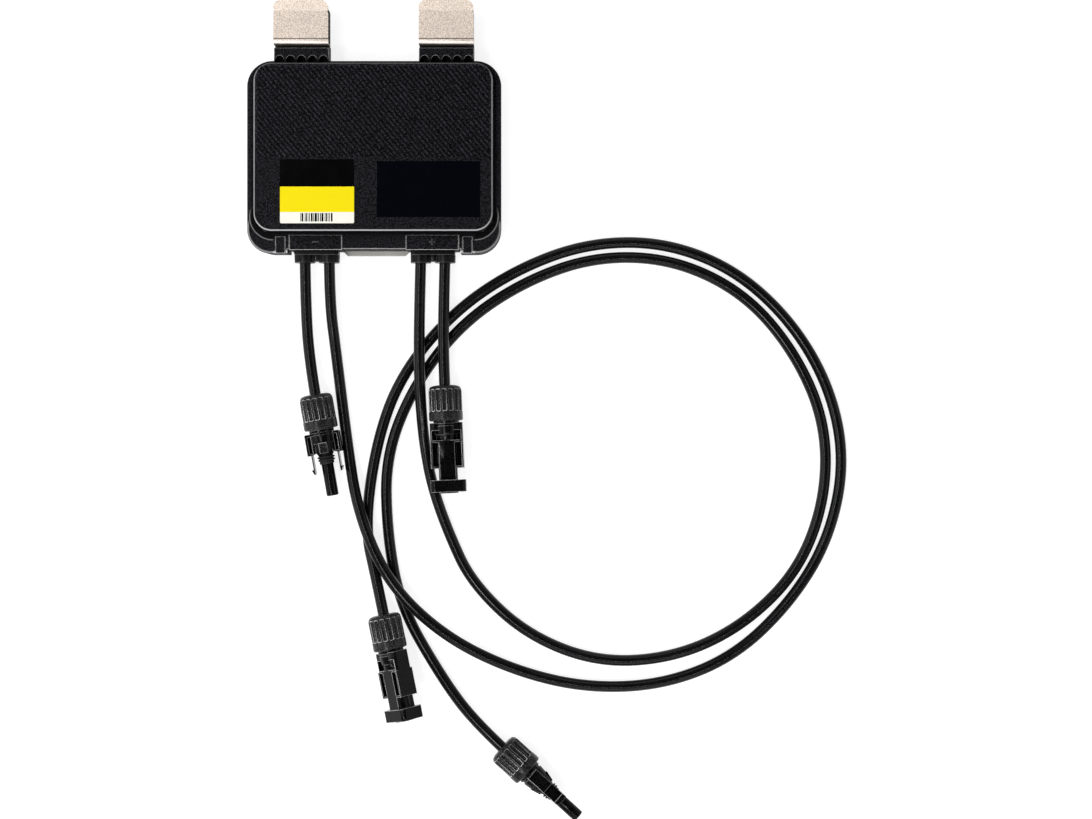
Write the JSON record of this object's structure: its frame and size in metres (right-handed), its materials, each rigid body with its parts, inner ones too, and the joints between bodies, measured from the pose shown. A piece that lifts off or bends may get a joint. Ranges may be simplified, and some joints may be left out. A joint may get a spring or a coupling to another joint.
{
  "type": "solar power optimizer",
  "caption": "Flat black solar module power optimizer box with two steel frame clips, two labels, and short and long cables ending in latching plugs and sockets.",
  "frame": {"origin": "centre of the lower face of the box around the housing, clips and glands, without the cables", "axes": "+Z out of the cover, +Y towards the frame clips, +X to the right seen from the front"},
  "size_m": [0.3314, 0.4497, 0.0243],
  "materials": {
    "housing": "fine grained black plastic",
    "connector": "satin black plastic",
    "gland": "satin black plastic",
    "cable": "smooth black jacket",
    "seal": "matt black rubber",
    "clip_steel": "satin spring steel",
    "plate": "plain sheet",
    "label": "printed film",
    "notice": "printed film",
    "board": "green solder mask",
    "screw_steel": "zinc plated",
    "ferrite": "sintered ferrite",
    "copper": "bare and enamelled copper",
    "can": "drawn metal can",
    "chip": "moulded epoxy",
    "brass_part": "tinned brass",
    "contact": "tin plated copper"
  },
  "bodies": {
    "optimizer": {"base_shell": "housing", "front_cover": "housing", "cover_gasket": "seal", "back_plate": "plate", "frame_clip_left": "clip_steel", "frame_clip_right": "clip_steel", "rating_label": "label", "notice_label": "notice", "gland_left": "gland", "gland_right": "gland", "circuit_board": "board", "board_screws": "screw_steel", "inductor_core": "ferrite", "inductor_winding": "copper", "capacitors": "can", "switching_transistors": "chip", "control_chip": "chip", "radio_shield": "can", "terminals": "brass_part", "lead_conductors": "copper", "short_cable_left": "cable", "long_cable_left": "cable", "long_cable_right": "cable", "short_cable_right": "cable", "left_plug_body": "connector", "left_plug_contact": "contact", "left_plug_seal_ring": "seal", "left_plug_cable_seal": "seal", "long_plug_body": "connector", "long_plug_contact": "contact", "long_plug_seal_ring": "seal", "long_plug_cable_seal": "seal", "right_socket_body": "connector", "right_socket_contact": "contact", "right_socket_cable_seal": "seal", "long_socket_body": "connector", "long_socket_contact": "contact", "long_socket_cable_seal": "seal"},
    "left_plug_ring": {"left_plug_clamp_ring": "connector"},
    "left_plug_nut": {"left_plug_cap_nut": "connector"},
    "long_plug_ring": {"long_plug_clamp_ring": "connector"},
    "long_plug_nut": {"long_plug_cap_nut": "connector"},
    "right_socket_ring": {"right_socket_clamp_ring": "connector"},
    "right_socket_nut": {"right_socket_cap_nut": "connector"},
    "long_socket_ring": {"long_socket_clamp_ring": "connector"},
    "long_socket_nut": {"long_socket_cap_nut": "connector"}
  },
  "joints": [
    {"name": "left_plug_nut_travel", "type": "slide", "parent": "optimizer", "child": "left_plug_ring", "axis": [-0.1736, 0.9848, 0], "range_m": [0, 0.0045]},
    {"name": "left_plug_nut_turn", "type": "hinge", "parent": "left_plug_ring", "child": "left_plug_nut", "pos_m": [-0.03146, -0.15375, 0.0096], "axis": [-0.1736, 0.9848, 0], "range_deg": [0, 1081]},
    {"name": "long_plug_nut_travel", "type": "slide", "parent": "optimizer", "child": "long_plug_ring", "axis": [-0.7471, 0.661, -0.0698], "range_m": [0, 0.0045]},
    {"name": "long_plug_nut_turn", "type": "hinge", "parent": "long_plug_ring", "child": "long_plug_nut", "pos_m": [0.07737, -0.34531, 0.0103], "axis": [-0.7471, 0.661, -0.0698], "range_deg": [0, 1081]},
    {"name": "right_socket_nut_travel", "type": "slide", "parent": "optimizer", "child": "right_socket_ring", "axis": [-0.0453, 0.9974, -0.0558], "range_m": [0, 0.0045]},
    {"name": "right_socket_nut_turn", "type": "hinge", "parent": "right_socket_ring", "child": "right_socket_nut", "pos_m": [0.03885, -0.14897, 0.01116], "axis": [-0.0453, 0.9974, -0.0558], "range_deg": [0, 1081]},
    {"name": "long_socket_nut_travel", "type": "slide", "parent": "optimizer", "child": "long_socket_ring", "axis": [-0.204, 0.9767, -0.0663], "range_m": [0, 0.0045]},
    {"name": "long_socket_nut_turn", "type": "hinge", "parent": "long_socket_ring", "child": "long_socket_nut", "pos_m": [0.00664, -0.27517, 0.01026], "axis": [-0.204, 0.9767, -0.0663], "range_deg": [0, 1081]}
  ],
  "couplings": [
    {"joint": "left_plug_nut_turn", "follows": "left_plug_nut_travel", "rad_per_m": 4188.8},
    {"joint": "long_plug_nut_turn", "follows": "long_plug_nut_travel", "rad_per_m": 4188.8},
    {"joint": "right_socket_nut_turn", "follows": "right_socket_nut_travel", "rad_per_m": 4188.8},
    {"joint": "long_socket_nut_turn", "follows": "long_socket_nut_travel", "rad_per_m": 4188.8}
  ]
}
